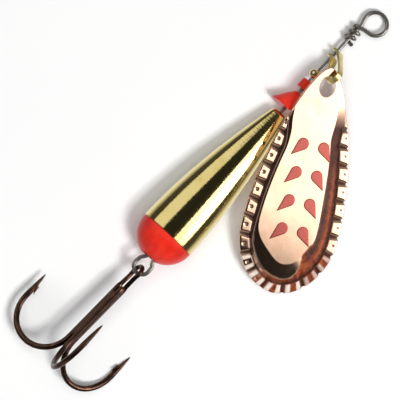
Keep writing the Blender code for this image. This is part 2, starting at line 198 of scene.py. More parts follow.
def blade_frame():
    yaw, pitch, roll = radians(BLADE_YAW), radians(BLADE_PITCH), radians(BLADE_ROLL)
    down = Vector((-cos(yaw) * cos(pitch), -sin(yaw) * cos(pitch), -sin(pitch)))
    flat_side = Vector((sin(yaw), -cos(yaw), 0))
    outer = flat_side * cos(roll) - down.cross(flat_side) * sin(roll)
    hinge = Vector(joint("blade_swing")["pos_m"])
    on_blade = down * HINGE_ON_BLADE[0] + outer * HINGE_ON_BLADE[1]
    return matrix_from(down, outer, down.cross(outer), hinge - on_blade * MM)


def treble_frame():
    turn = Matrix.Rotation(radians(HOOK_YAW), 4, "Z") @ Matrix.Rotation(radians(HOOK_PITCH), 4, "Y")
    return Matrix.Translation(joint("hook_swing")["pos_m"]) @ turn


SHAFT = shaft_frame()
BLADE = blade_frame()
TREBLE = treble_frame()


# ---------------------------------------------------------------- curves

def arc(centre, radius, start, end, steps):
    points = []
    for i in range(steps + 1):
        angle = radians(start + (end - start) * i / steps)
        points.append((centre[0] + radius * cos(angle), centre[1] + radius * sin(angle)))
    return points


def bezier(p0, p1, p2, p3, steps):
    """Points on a cubic curve, without the last one."""
    points = []
    for i in range(steps):
        u = i / steps
        v = 1 - u
        weights = (v**3, 3 * v * v * u, 3 * v * u * u, u**3)
        points.append(tuple(
            sum(w * p[axis] for w, p in zip(weights, (p0, p1, p2, p3)))
            for axis in range(len(p0))
        ))
    return points


def smooth_path(points, steps):
    """A Catmull-Rom curve through the given points."""
    points = [Vector(p) for p in points]
    padded = [2 * points[0] - points[1], *points, 2 * points[-1] - points[-2]]
    path = []
    for a, b, c, d in zip(padded, padded[1:], padded[2:], padded[3:]):
        for i in range(steps):
            u = i / steps
            path.append(
                b + (c - a) * u / 2
                + (2 * a - 5 * b + 4 * c - d) * u**2 / 2
                + (3 * b - 3 * c + d - a) * u**3 / 2
            )
    path.append(points[-1])
    return path


def rounded(corners, steps=5):
    """A closed outline whose (x, y, reach) corners are rounded off over reach on each side."""
    outline = []
    for i, (x, y, reach) in enumerate(corners):
        corner = Vector((x, y))
        if reach == 0:
            outline.append(tuple(corner))
            continue
        before = (Vector(corners[i - 1][:2]) - corner).normalized() * reach
        after = (Vector(corners[(i + 1) % len(corners)][:2]) - corner).normalized() * reach
        for k in range(steps + 1):
            u = k / steps
            outline.append(tuple(corner + before * (1 - u) ** 2 + after * u**2))
    return outline


def evenly(points, count):
    """The same line with its points evenly spaced, and its length."""
    lengths = [0.0]
    for a, b in zip(points, points[1:]):
        lengths.append(lengths[-1] + hypot(b[0] - a[0], b[1] - a[1]))
    spaced, k = [], 0
    for i in range(count + 1):
        want = lengths[-1] * i / count
        while k < len(points) - 2 and lengths[k + 1] < want:
            k += 1
        share = (want - lengths[k]) / (lengths[k + 1] - lengths[k])
        a, b = points[k], points[k + 1]
        spaced.append((a[0] + (b[0] - a[0]) * share, a[1] + (b[1] - a[1]) * share))
    return spaced, lengths[-1]


def ramp(value, low, high):
    """A smooth rise from 0 at low to 1 at high."""
    share = min(1.0, max(0.0, (value - low) / (high - low)))
    return share * share * (3 - 2 * share)


def eased(value, low, high, corner):
    """A straight rise from 0 to 1 whose two corners are rounded off."""
    def area(v):
        inside = min(max(v, low), high) - low
        return inside**2 / (2 * (high - low)) + max(0.0, v - high)
    return (area(value + corner) - area(value - corner)) / (2 * corner)


def hump(value, rise, fall):
    """1 between a gradual rise and a gradual fall, each given as (start, end), and 0 beyond them."""
    return ramp(value, *rise) * (1 - ramp(value, *fall))


def stations(low, high, count):
    """Evenly spaced values above low, the last of them high."""
    return [low + (high - low) * (i + 1) / count for i in range(count)]


# ---------------------------------------------------------------- meshes

def bridge(bm, first, second):
    """Faces between two closed rings with equally many points."""
    count = len(first)
    for i in range(count):
        j = (i + 1) % count
        bm.faces.new((first[i], first[j], second[j], second[i]))


def lathe(profile, sides=128):
    """Turns a closed outline of (x, radius) points about the X axis."""
    bm = bmesh.new()
    rings = []
    for i in range(sides):
        turn = 2 * pi * i / sides
        rings.append([bm.verts.new((x, r * cos(turn), r * sin(turn))) for x, r in profile])
    for i, ring in enumerate(rings):
        bridge(bm, ring, rings[(i + 1) % sides])
    return bm


def sweep(bm, path, radii, side, sides=20, flat=None):
    """A round wire along a path, squeezed sideways where flat is over 1."""
    path = [Vector(p) for p in path]
    flat = flat or [1.0] * len(path)
    rings = []
    side = Vector(side)
    for i, here in enumerate(path):
        before = path[max(i - 1, 0)]
        after = path[min(i + 1, len(path) - 1)]
        along = (after - before).normalized()
        side = (side - along * side.dot(along)).normalized()
        other = along.cross(side)
        ring = []
        for k in range(sides):
            turn = 2 * pi * k / sides
            out = side * cos(turn) * flat[i] + other * sin(turn) / flat[i]
            ring.append(bm.verts.new(here + out * radii[i]))
        rings.append(ring)
    for first, second in zip(rings, rings[1:]):
        bridge(bm, first, second)
    bm.faces.new(rings[0])
    bm.faces.new(rings[-1])
    return rings


def finish(name, bm, look, place, body, stands_for=(), sharp_from=40):
    """Turns a bmesh in millimetres into a piece that rides on a body."""
    bmesh.ops.recalc_face_normals(bm, faces=bm.faces)
    bmesh.ops.scale(bm, vec=(MM, MM, MM), verts=bm.verts)
    mesh = bpy.data.meshes.new(name)
    bm.to_mesh(mesh)
    bm.free()
    mesh.materials.append(look)
    mesh.shade_smooth()
    mesh.set_sharp_from_angle(angle=radians(sharp_from))
    piece = bpy.data.objects.new(name, mesh)
    bpy.context.collection.objects.link(piece)
    piece.matrix_world = place
    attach(piece, body)
    if stands_for:
        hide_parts(*stands_for)
    return piece


def cut(piece, cutter_bm):
    """Takes a closed shape, in millimetres of the piece's own frame, out of the piece."""
    bmesh.ops.scale(cutter_bm, vec=(MM, MM, MM), verts=cutter_bm.verts)
    mesh = bpy.data.meshes.new("cutter")
    cutter_bm.to_mesh(mesh)
    cutter_bm.free()
    cutter = bpy.data.objects.new("cutter", mesh)
    bpy.context.collection.objects.link(cutter)
    cutter.matrix_world = piece.matrix_world
    taking = piece.modifiers.new("cut", "BOOLEAN")
    taking.operation = "DIFFERENCE"
    taking.solver = "EXACT"
    taking.object = cutter
    bpy.context.view_layer.update()
    evaluated = piece.evaluated_get(bpy.context.evaluated_depsgraph_get())
    result = bpy.data.meshes.new_from_object(evaluated)
    piece.modifiers.remove(taking)
    piece.data = result
    bpy.data.objects.remove(cutter, do_unlink=True)


# ---------------------------------------------------------------- materials

def add_node(tree, kind, inputs=(), output=0, **settings):
    """A shader node, its inputs linked to sockets or set to values; returns one of its outputs."""
    made = tree.nodes.new("ShaderNode" + kind)
    for key, value in settings.items():
        setattr(made, key, value)
    for key, value in dict(inputs).items():
        if isinstance(value, bpy.types.NodeSocket):
            tree.links.new(value, made.inputs[key])
        else:
            made.inputs[key].default_value = value
    return made.outputs[output]


def colour_ramp(tree, factor, stops):
    """A colour ramp of (position, colour) stops."""
    output = add_node(tree, "ValToRGB", {0: factor})
    elements = output.node.color_ramp.elements
    while len(elements) < len(stops):
        elements.new(0.5)
    for element, (position, colour) in zip(elements, stops):
        element.position = position
        element.color = (*colour, 1)
    return output


def greys(stops):
    """(position, grey) stops as (position, colour) stops."""
    return [(position, (grey, grey, grey)) for position, grey in stops]


class Look:
    """One material, built from procedural nodes round a Principled BSDF."""

    def __init__(self, name, **uniform):
        self.material = bpy.data.materials.new(name)
        self.material.use_nodes = True
        self.tree = self.material.node_tree
        self.shader = self.tree.nodes["Principled BSDF"]
        for socket, value in uniform.items():
            self.shader.inputs[socket.replace("_", " ")].default_value = value

    def node(self, kind, inputs=(), output=0, **settings):
        return add_node(self.tree, kind, inputs, output, **settings)

    def place(self, scale):
        """The piece's own coordinates, in millimetres times scale."""
        own = self.node("TexCoord", output="Object")
        per_metre = tuple(1000 * s for s in scale)
        return self.node("Mapping", {"Vector": own, "Scale": per_metre})

    def noise(self, scale, detail=3, roughness=0.5):
        inputs = {"Vector": self.place(scale), "Scale": 1.0, "Detail": detail}
        inputs["Roughness"] = roughness
        return self.node("TexNoise", inputs)

    def attribute(self, name):
        return self.node("Attribute", output="Fac", attribute_name=name)

    def colours(self, factor, stops):
        return colour_ramp(self.tree, factor, stops)

    def between(self, factor, low, high, out_low, out_high):
        inputs = {"Value": factor, "From Min": low, "From Max": high}
        inputs["To Min"] = out_low
        inputs["To Max"] = out_high
        return self.node("MapRange", inputs, clamp=True)

    def mix(self, factor, first, second):
        inputs = {0: factor, 6: first, 7: second}
        return self.node("Mix", inputs, output=2, data_type="RGBA")

    def bump(self, height, depth_mm, normal=None):
        inputs = {"Height": height, "Distance": depth_mm * MM, "Strength": 1.0}
        if normal:
            inputs["Normal"] = normal
        return self.node("Bump", inputs)

    def use(self, **sockets):
        for socket, value in sockets.items():
            self.tree.links.new(value, self.shader.inputs[socket.replace("_", " ")])
        return self.material


def gold_plate():
    """Bright plating over a lathe-turned body: rings, handling scratches and faint tarnish."""
    look = Look("gold_plate_turned", Metallic=1.0)
    tarnish = look.noise((0.35, 0.35, 0.35), detail=5)
    colour = look.colours(tarnish, [
        (0.35, (0.94, 0.77, 0.32)),
        (0.62, (0.92, 0.74, 0.28)),
        (0.8, (0.80, 0.60, 0.20)),
    ])
    rings = look.noise((3.2, 0.55, 0.55), detail=4, roughness=0.6)
    scratches = look.noise((0.5, 9.0, 9.0), detail=2)
    roughness = look.between(scratches, 0.3, 0.75, 0.07, 0.17)
    normal = look.bump(rings, 0.024)
    normal = look.bump(scratches, 0.0012, normal)
    return look.use(Base_Color=colour, Roughness=roughness, Normal=normal)


def red_enamel():
    """Thick enamel on the tail cap, a little uneven where it was dipped."""
    look = Look("red_enamel", Coat_Weight=0.12, Coat_Roughness=0.2, Specular_IOR_Level=0.25)
    blotch = look.noise((0.4, 0.7, 0.7), detail=4)
    colour = look.colours(blotch, [
        (0.3, (0.66, 0.018, 0.010)),
        (0.55, (0.80, 0.026, 0.012)),
        (0.8, (0.84, 0.045, 0.018)),
    ])
    peel = look.noise((2.2, 2.2, 2.2), detail=2)
    roughness = look.between(blotch, 0.3, 0.8, 0.34, 0.48)
    return look.use(Base_Color=colour, Roughness=roughness, Normal=look.bump(peel, 0.012))


def red_plastic():
    """Moulded beads: flow lines along the mould, and a fine grain."""
    look = Look(
        "red_moulded_plastic", Specular_IOR_Level=0.3, Subsurface_Weight=0.08, Subsurface_Scale=0.0008
    )
    flow = look.noise((0.5, 2.5, 2.5), detail=3)
    colour = look.colours(flow, [
        (0.3, (0.80, 0.026, 0.010)),
        (0.6, (0.90, 0.036, 0.014)),
        (0.85, (0.92, 0.07, 0.030)),
    ])
    grain = look.noise((6.0, 6.0, 6.0), detail=3)
    roughness = look.between(grain, 0.3, 0.7, 0.26, 0.42)
    return look.use(Base_Color=colour, Roughness=roughness, Normal=look.bump(grain, 0.006))


def drawn_steel():
    """Stainless wire with lines from the drawing die."""
    look = Look("drawn_stainless_wire", Metallic=0.8)
    patch = look.noise((0.9, 0.9, 0.9), detail=4)
    colour = look.colours(patch, [
        (0.3, (0.22, 0.20, 0.17)),
        (0.6, (0.32, 0.30, 0.27)),
        (0.8, (0.42, 0.40, 0.37)),
    ])
    lines = look.noise((0.8, 14.0, 14.0), detail=3)
    roughness = look.between(lines, 0.3, 0.75, 0.16, 0.34)
    return look.use(Base_Color=colour, Roughness=roughness, Normal=look.bump(lines, 0.004))


def rolled_brass():
    """Strip brass with rolling lines and brown tarnish in patches."""
    look = Look("rolled_brass_strip", Metallic=0.8)
    tarnish = look.noise((1.1, 1.1, 1.1), detail=5)
    colour = look.colours(tarnish, [
        (0.3, (0.86, 0.72, 0.33)),
        (0.6, (0.80, 0.64, 0.26)),
        (0.78, (0.45, 0.31, 0.10)),
    ])
    lines = look.noise((10.0, 10.0, 0.8), detail=3)
    roughness = look.between(lines, 0.3, 0.7, 0.18, 0.34)
    return look.use(Base_Color=colour, Roughness=roughness, Normal=look.bump(lines, 0.005))


def turned_brass():
    """The bearing bead: fine tool rings."""
    look = Look("turned_brass_bead", Metallic=1.0)
    rings = look.noise((9.0, 1.0, 1.0), detail=3)
    colour = look.colours(rings, [(0.3, (0.92, 0.76, 0.42)), (0.8, (0.78, 0.58, 0.26))])
    roughness = look.between(rings, 0.3, 0.7, 0.14, 0.26)
    return look.use(Base_Color=colour, Roughness=roughness, Normal=look.bump(rings, 0.006))


def copper_plate():
    """Plated and polished blade: polishing lines and waviness, with painted shade in the crimps and
    painted brown reflections on the slopes.

    The mesh says at each place how much painted shade and dark reflection, brown reflection and pale
    painted highlight it carries.
    """
    look = Look("copper_plate_polished", Specular_IOR_Level=0.2)
    tarnish = look.noise((0.22, 0.3, 0.3), detail=6, roughness=0.6)
    plate = [(0.3, (0.86, 0.56, 0.39)), (0.58, (0.84, 0.53, 0.36)), (0.8, (0.76, 0.43, 0.27))]
    colour = look.colours(tarnish, plate)
    # Brown stands in for reflections on the slopes and rim; near-black is painted shade in the crimps
    # and painted dark reflection
    mottle = look.noise((1.3, 1.3, 1.3), detail=4, roughness=0.6)
    brown = look.colours(mottle, [(0.35, (0.14, 0.019, 0.008)), (0.6, (0.31, 0.068, 0.018))])
    painted_dark = look.colours(mottle, [(0.35, (0.018, 0.008, 0.007)), (0.6, (0.036, 0.014, 0.010))])
    brown_reflection = look.attribute("brown_reflection")
    painted_dark_mask = look.attribute("painted_dark_mask")
    slope = look.between(brown_reflection, 0.6, 1.0, 0.0, 1.0)
    painted_dark = look.mix(brown_reflection, painted_dark, look.mix(0.85, brown, painted_dark))
    colour = look.mix(slope, colour, brown)
    colour = look.mix(painted_dark_mask, colour, painted_dark)
    # A pale painted highlight on the sides of the ribs
    painted_highlight = look.attribute("painted_highlight")
    colour = look.mix(painted_highlight, colour, (0.88, 0.74, 0.64, 1))
    dull = look.node("Math", {0: slope, 1: painted_dark_mask}, operation="MAXIMUM")
    dull = look.node("Math", {0: dull, 1: painted_highlight}, operation="MAXIMUM")
    metallic = look.between(dull, 0.0, 1.0, 1.0, 0.22)
    waves = look.noise((0.16, 0.22, 0.22), detail=2)
    lines = look.noise((0.7, 11.0, 11.0), detail=2)
    polish = look.between(tarnish, 0.35, 0.75, 0.08, 0.18)
    added = look.between(dull, 0.0, 1.0, 0.0, 0.3)
    roughness = look.node("Math", {0: polish, 1: added}, operation="ADD")
    normal = look.bump(waves, 0.05)
    normal = look.bump(lines, 0.0012, normal)
    return look.use(Base_Color=colour, Metallic=metallic, Roughness=roughness, Normal=normal)


def drop_paint():
    """Red lacquer through which the metal shines a little, darker along each drop's edge."""
    look = Look("red_drop_lacquer", Metallic=0.8, Coat_Weight=0.1, Coat_Roughness=0.2)
    edge = look.attribute("edge")
    speck = look.noise((3.5, 3.5, 3.5), detail=4)
    fill = look.colours(speck, [
        (0.35, (0.37, 0.076, 0.060)),
        (0.6, (0.41, 0.092, 0.070)),
        (0.8, (0.46, 0.135, 0.105)),
    ])
    colour = look.mix(edge, fill, (0.24, 0.020, 0.024, 1))
    roughness = look.between(speck, 0.3, 0.8, 0.22, 0.4)
    return look.use(Base_Color=colour, Roughness=roughness, Normal=look.bump(speck, 0.008))


def bronze_finish():
    """Dark bronzed hook steel, rubbed through to copper in places."""
    look = Look("bronzed_hook_steel", Metallic=1.0)
    rub = look.noise((0.7, 0.7, 0.7), detail=5, roughness=0.6)
    colour = look.colours(rub, [
        (0.3, (0.062, 0.036, 0.028)),
        (0.55, (0.115, 0.060, 0.040)),
        (0.8, (0.32, 0.155, 0.09)),
    ])
    lines = look.noise((1.2, 9.0, 9.0), detail=3)
    roughness = look.between(lines, 0.3, 0.75, 0.16, 0.32)
    return look.use(Base_Color=colour, Roughness=roughness, Normal=look.bump(lines, 0.006))


def braze_finish():
    """Brazing metal that holds the shanks together, under the same bronze finish."""
    look = Look("bronzed_braze", Metallic=1.0)
    flow = look.noise((1.0, 2.4, 2.4), detail=4)
    colour = look.colours(flow, [
        (0.3, (0.10, 0.055, 0.04)),
        (0.6, (0.19, 0.09, 0.065)),
        (0.8, (0.28, 0.13, 0.09)),
    ])
    roughness = look.between(flow, 0.3, 0.7, 0.28, 0.45)
    return look.use(Base_Color=colour, Roughness=roughness, Normal=look.bump(flow, 0.03))


# ---------------------------------------------------------------- pieces on the shaft

def shaft_wire_path():
    """Return leg, tail loop, straight shaft, line eye and wrap, in one run of wire."""
    lx, ly = TAIL_LOOP_CENTRE
    leg = [(x, RETURN_LEG_OFFSET) for x in (-0.8, -2.8, -4.7)]
    leg.append((lx + 0.9, ly - 0.97 * TAIL_LOOP_RADIUS))
    home = [(lx + 1.0, ly + 0.9 * TAIL_LOOP_RADIUS), (-4.7, 0.12), (-3.6, 0.0)]
    path = smooth_path([(x, y, 0) for x, y in leg], 6)
    path += [(x, y, 0) for x, y in arc(TAIL_LOOP_CENTRE, TAIL_LOOP_RADIUS, -90, -270, 36)]
    path += smooth_path([(x, y, 0) for x, y in home], 6)
    path += [(x, 0, 0) for x in (5.0, 20.0, 35.0, 44.0, WRAP_START, WRAP_START + 0.7)]
    eye = arc(EYE_CENTRE, EYE_RADIUS, 105, -165, 60)
    for i, (x, y) in enumerate(eye):
        path.append((x, y, WRAP_RADIUS * max(0.0, i / 30 - 1) * 0.75))
    path.append((WRAP_START + 0.26, -1.0, WRAP_RADIUS * 0.95))
    for i in range(WRAP_TURN // 10 + 1):
        turn = radians(10 * i)
        # The cut end stands a little off the wire
        radius = WRAP_RADIUS + 0.2 * max(0.0, i - 92) / 8
        x = WRAP_START - WRAP_PITCH * turn / (2 * pi)
        path.append((x, radius * sin(turn), radius * cos(turn)))
    return path


def shaft_wire(look):
    bm = bmesh.new()
    path = shaft_wire_path()
    sweep(bm, path, [WIRE_RADIUS] * len(path), (0, 0, 1))
    finish("shaft_wire_drawn", bm, look, SHAFT, "shaft", ["shaft_wire"])


def drop_body(look):
    nose = (BODY_LENGTH - 0.5, NOSE_RADIUS + 0.1)
    outline = rounded([(4.1, 2.58, 0.2), (0.0, 2.58, 0.15), (0.0, BODY_RADIUS, 0.14)])
    outline += bezier((0.16, BODY_RADIUS), (9.5, 5.0), (19.0, 3.38), nose, 90)
    lip = (BODY_LENGTH, 0.9)
    outline += bezier(nose, (BODY_LENGTH - 0.15, NOSE_RADIUS), (BODY_LENGTH, 1.15), lip, 10)
    outline += rounded([(BODY_LENGTH, BORE_RADIUS, 0.12), (4.1, BORE_RADIUS, 0.1)])
    finish("drop_body_turned", lathe(outline, 192), look, SHAFT, "weight", ["drop_body"])


def tail_cap(look):
    """Dome, with the soft lip of a dipped coat round the wire's well."""
    rim = BODY_RADIUS - 0.03
    well = 1.7
    start = asin(well / rim)
    dome = []
    for i in range(41):
        angle = start + (pi / 2 - start) * i / 40
        dome.append((-0.06 - (rim - 0.06) * cos(angle), rim * sin(angle)))
    lip_x, lip_r = dome[0]
    mouth = bezier((lip_x + 0.6, well), (lip_x + 0.15, well), (lip_x - 0.02, well), (lip_x, lip_r), 6)
    well_end = lip_x + 5.1
    spigot = [(-0.06, 2.5), (4.0, 2.5), (4.0, BORE_RADIUS)]
    outline = [*mouth, *dome, *spigot, (well_end, BORE_RADIUS), (well_end, well)]
    finish("tail_cap_enamelled", lathe(outline), look, SHAFT, "weight", ["tail_cap"])


def cone_spacer(look):
    base = CONE_BASE
    corners = [(base, BORE_RADIUS, 0.1), (base, CONE_RADIUS, 0.32), (base + 2.75, 1.12, 0.5)]
    corners += [(base + 3.4, 0.62, 0.15), (base + 3.4, BORE_RADIUS, 0.05)]
    outline = rounded(corners, 8)
    finish("cone_spacer_moulded", lathe(outline, 96), look, SHAFT, "cone", ["cone_spacer"])


def tube_bead(look):
    start, end = TUBE_ENDS
    corners = [(start, BORE_RADIUS, 0.08), (start, TUBE_RADIUS, 0.16)]
    corners += [(end, TUBE_RADIUS, 0.16), (end, BORE_RADIUS, 0.08)]
    outline = rounded(corners, 6)
    finish("tube_bead_cut", lathe(outline, 72), look, SHAFT, "tube", ["tube_bead"])


def brass_bead(look):
    half_length = 0.75
    outline = [(BEAD_CENTRE - half_length, BORE_RADIUS)]
    for x, y in arc((0, 0), 1, 145, 35, 28):
        outline.append((BEAD_CENTRE + half_length * x / cos(radians(35)), BEAD_RADIUS * y))
    outline.append((BEAD_CENTRE + half_length, BORE_RADIUS))
    finish("brass_bead_turned", lathe(outline, 72), look, SHAFT, "bead", ["brass_bead"])


def clevis_path():
    """The strip's route in its own plane, (along the wire, distance from it), and its lean."""
    local = SHAFT.inverted() @ Vector(joint("blade_swing")["pos_m"]) / MM
    centre = Vector((local.x, hypot(local.y, local.z)))
    reach = (centre - Vector(((EAR_NOSE + EAR_TAIL) / 2, 0))).normalized()
    across = Vector((reach.y, -reach.x))
    nose_ear = [Vector((EAR_NOSE, -EAR_RADIUS + 0.01 + 0.06 * i)) for i in range(31)]
    tail_ear = [Vector((EAR_TAIL, point.y)) for point in reversed(nose_ear)]
    bend = []
    for i in range(33):
        turn = pi * i / 32
        bend.append(centre + BEND_RADIUS * (across * cos(turn) + reach * sin(turn)))
    route = nose_ear + legs(nose_ear[-1], bend[0]) + bend
    route += legs(bend[-1], tail_ear[0]) + tail_ear
    return smoothed(route), local


def legs(start, end):
    """Points strictly between two others."""
    return [start.lerp(end, i / 12) for i in range(1, 12)]


def smoothed(points, passes=6):
    """Softens the corners of a line, keeping its ends."""
    for _ in range(passes):
        middle = [(a + 2 * b + c) / 4 for a, b, c in zip(points, points[1:], points[2:])]
        points = [points[0], *middle, points[-1]]
    return points


def strip_half_width(out, bend_out):
    """Round ears, then legs that narrow towards the bend."""
    if out < 0.3:
        return max(0.1, sqrt(max(0.0, EAR_RADIUS**2 - out * out)))
    share = min(1.0, (out - 0.3) / (bend_out - 0.3))
    return LEG_HALF_WIDTH + (STRIP_HALF_WIDTH - LEG_HALF_WIDTH) * share


def clevis(look):
    points, local = clevis_path()
    bend_out = hypot(local.y, local.z) - BEND_RADIUS
    thin, edge = STRIP_THICKNESS / 2, STRIP_EDGE
    bm = bmesh.new()
    rings = []
    for i, here in enumerate(points):
        ahead = (points[min(i + 1, len(points) - 1)] - points[max(i - 1, 0)]).normalized()
        half = strip_half_width(here.y, bend_out)
        corners = [(thin, half, edge), (thin, -half, edge), (-thin, -half, edge), (-thin, half, edge)]
        ring = []
        for thick, wide in rounded(corners, 3):
            ring.append(bm.verts.new((here.x - ahead.y * thick, here.y + ahead.x * thick, wide)))
        rings.append(ring)
    for first, second in zip(rings, rings[1:]):
        bridge(bm, first, second)
    bm.faces.new(rings[0])
    bm.faces.new(rings[-1])
    # Y of the path becomes the direction in which the clevis leans out from the wire
    lean = Vector((local.y, local.z)).angle_signed(Vector((1, 0)))
    bmesh.ops.transform(bm, matrix=Matrix.Rotation(lean, 4, "X"), verts=bm.verts)
    piece = finish("clevis_strip", bm, look, SHAFT, "clevis", ["clevis"])
    drill = bmesh.new()
    middle = Matrix.Translation(((EAR_NOSE + EAR_TAIL) / 2, 0, 0)) @ Matrix.Rotation(pi / 2, 4, "Y")
    radius = BORE_RADIUS + 0.02
    bmesh.ops.create_cone(
        drill, cap_ends=True, segments=48, radius1=radius, radius2=radius, depth=3, matrix=middle
    )
    cut(piece, drill)


# ---------------------------------------------------------------- blade

def blade_outline():
    """One side of the blade from narrow end to round end, as (from the narrow end, half width)."""
    wide = (BLADE_WIDEST, BLADE_HALF_WIDTH)
    upper = bezier((0, 0), (0, 2.6), (14.0, BLADE_HALF_WIDTH), wide, 240)
    end = BLADE_LENGTH
    lower = bezier(wide, (BLADE_WIDEST + 5.5, BLADE_HALF_WIDTH), (end, 4.5), (end, 0), 240)
    return [*upper, *lower, (end, 0)]


def rim_section(x, side):
    """Height that the rim drops, and the widths of its flange and of the slope above it."""
    end = ramp(x, DROOP_START + 2, BLADE_LENGTH)
    if side == OUTER:
        drop = BLADE_DEPTH * ramp(x, 1.5, 7.0)
        flange = 0.1 + FLANGE_WIDTH * ramp(x, 6.5, 12.5)
        slope = 0.3 + 1.5 * ramp(x, 1.0, 8.0) + 0.75 * ramp(x, 10.0, 24.0) + 0.8 * end
    else:
        drop = BLADE_DEPTH * ramp(x, 7.5, 11.0)
        flange = 0.1 + FLANGE_WIDTH * ramp(x, 7.5, 15.0)
        slope = 0.25 + 0.6 * ramp(x, 7.5, 12.0) + 2.5 * end
    return drop, flange, slope


def ring_insets(flange, slope, room):
    """Distances in from the rim, crowded at the rim and at both ends of the slope."""
    places = [0.0, 0.05, 0.14, *stations(0.14, flange - CREASE, 8)]
    places += stations(flange - CREASE, flange + CREASE, 4)
    places += stations(flange + CREASE, flange + slope - CREASE, 6)
    places += stations(flange + slope - CREASE, flange + slope + CREASE, 4)
    places += stations(flange + slope + CREASE, room, 12)
    for i in range(1, len(places)):
        places[i] = max(places[i], places[i - 1] + 0.01)
    return places


def rib_line(half, length):
    """Length along the line RIB_LINE in from the rim, where the ribs are evenly spaced."""
    along = []
    for i in range(len(half)):
        before, after = half[max(i - 1, 0)], half[min(i + 1, len(half) - 1)]
        turned = pi / 2 - atan2(after[1] - before[1], after[0] - before[0])
        along.append(length * i / RIM_STEPS - RIB_LINE * turned)
    return along


def rib_turns(along, half_round, side):
    """Ribs counted round the rim; whole numbers are the middles of ribs."""
    pitch = (2 * half_round - FIRST_RIB[OUTER] - FIRST_RIB[INNER]) / RIBS_BETWEEN
    if side == OUTER:
        along = 2 * half_round - along
    return (along - FIRST_RIB[INNER]) / pitch, pitch


def rib(turns, across):
    """Height of the crimped rim: 1 on a rib's flat top, which narrows inwards, -1 beside it."""
    half = 0.37 - 0.07 * across
    return 1 - 2 * eased(abs(turns - round(turns)), half, half + 0.12, 0.03)


def panel_height(x, y):
    """The raised panel is slightly crowned, and droops towards the round end."""
    return -0.002 * y * y - BLADE_DROOP * max(0.0, x - DROOP_START) ** 2


def rim_relief(x, inset, flange, turns, pitch, side):
    """What the crimps add to the rim's height, their painted shade, and the painted highlight beside
    the ribs.
    """
    across = min(1.0, inset / flange)
    if side == INNER:
        turns -= RIB_SLANT * across
    off = turns - round(turns)
    grown = ramp(x, *RIBS_GROW)
    crimp = grown * (1 - ramp(inset, flange * 0.9, flange * 1.25 + 0.05))
    top = rib(turns, across)
    away = hypot(off * pitch, inset - DIMPLE_PLACE * flange)
    dimple = grown * (1 - ramp(away, 0.08, DIMPLE_RADIUS))
    foot = grown * hump(inset / flange, (0.88, 1.0), (1.3, 1.45))
    # Painted shade in the dimples, in the grooves between ribs and in the crease at the rim's foot
    painted_dark = dimple * 0.8 * DIMPLE_DEPTH[side] / DIMPLE_DEPTH[INNER]
    painted_dark_mask = max((1 - top) / 2 * crimp, painted_dark, foot)
    # A pale painted highlight beside each rib
    beside = hump(abs(off), (0.12, 0.2), (0.34, 0.42)) * (1 - ramp(across, 0.8, 0.95))
    return RIB_DEPTH * top * crimp - DIMPLE_DEPTH[side] * dimple, painted_dark_mask, beside * highlight_share(x, side)


def highlight_share(x, side):
    """How strongly the sides of the ribs carry a pale painted highlight, most of all round the
    blade's end.
    """
    if side == INNER:
        return ramp(x, *INNER_RIB_HIGHLIGHTS)
    return 0.45 * ramp(x, *OUTER_RIB_HALF_HIGHLIGHTS) + 0.55 * ramp(x, *OUTER_RIB_HIGHLIGHTS)


def inner_painted_reflections(x, share):
    """Brown painted reflection on the rim and the foot of the slope, round the blade's end only."""
    brown_reflection_share = ramp(x, *INNER_RIM_BROWNS)
    reach = 0.4 * brown_reflection_share
    return 0.0, brown_reflection_share * (1 - ramp(share, reach - 0.2, reach + 0.15))


def outer_painted_reflections(x, share):
    """Painted reflections: a dark patch near the narrow end, a dark line beside the panel, and brown
    elsewhere.
    """
    on_slope = hump(share, (-0.2, 0.1), (0.9, 1.05))
    patch = hump(x, DARK_STARTS, DARK_PATCH_ENDS)
    line = ramp(share, 0.35, 0.65) * hump(x, DARK_STARTS, DARK_LINE_ENDS)
    slope = on_slope * hump(x, SLOPE_BROWNS, SLOPE_BROWN_ENDS)
    reach = 0.4 + 0.8 * (1 - ramp(x, *RIM_BROWN_NARROWS))
    rim = ramp(x, *RIM_BROWNS) * (1 - ramp(share, reach - 0.2, reach + 0.05))
    grooves = 0.6 * (1 - ramp(share, -0.2, 0.0)) * ramp(x, *GROOVES_BROWN)
    return on_slope * max(patch, line), max(slope, rim, grooves)


def painted_reflections(x, inset, section, side):
    """How much painted dark and brown reflection the blade carries at a place, by its share of the
    way up the slope.
    """
    flange, slope = section[1:]
    share = (inset - flange) / slope
    return inner_painted_reflections(x, share) if side == INNER else outer_painted_reflections(x, share)


def blade_height(x, y, inset, section):
    """Height of the blade's middle at a place, inset from the rim, without its crimps."""
    drop, flange, slope = section
    low = 1 - eased(inset, flange, flange + slope, CREASE / 2)
    tilt = FLANGE_TILT * ramp(x, *FLANGE_TURNS) * (min(1.0, inset / flange) - 0.5)
    return panel_height(x, y) + (tilt - drop) * low


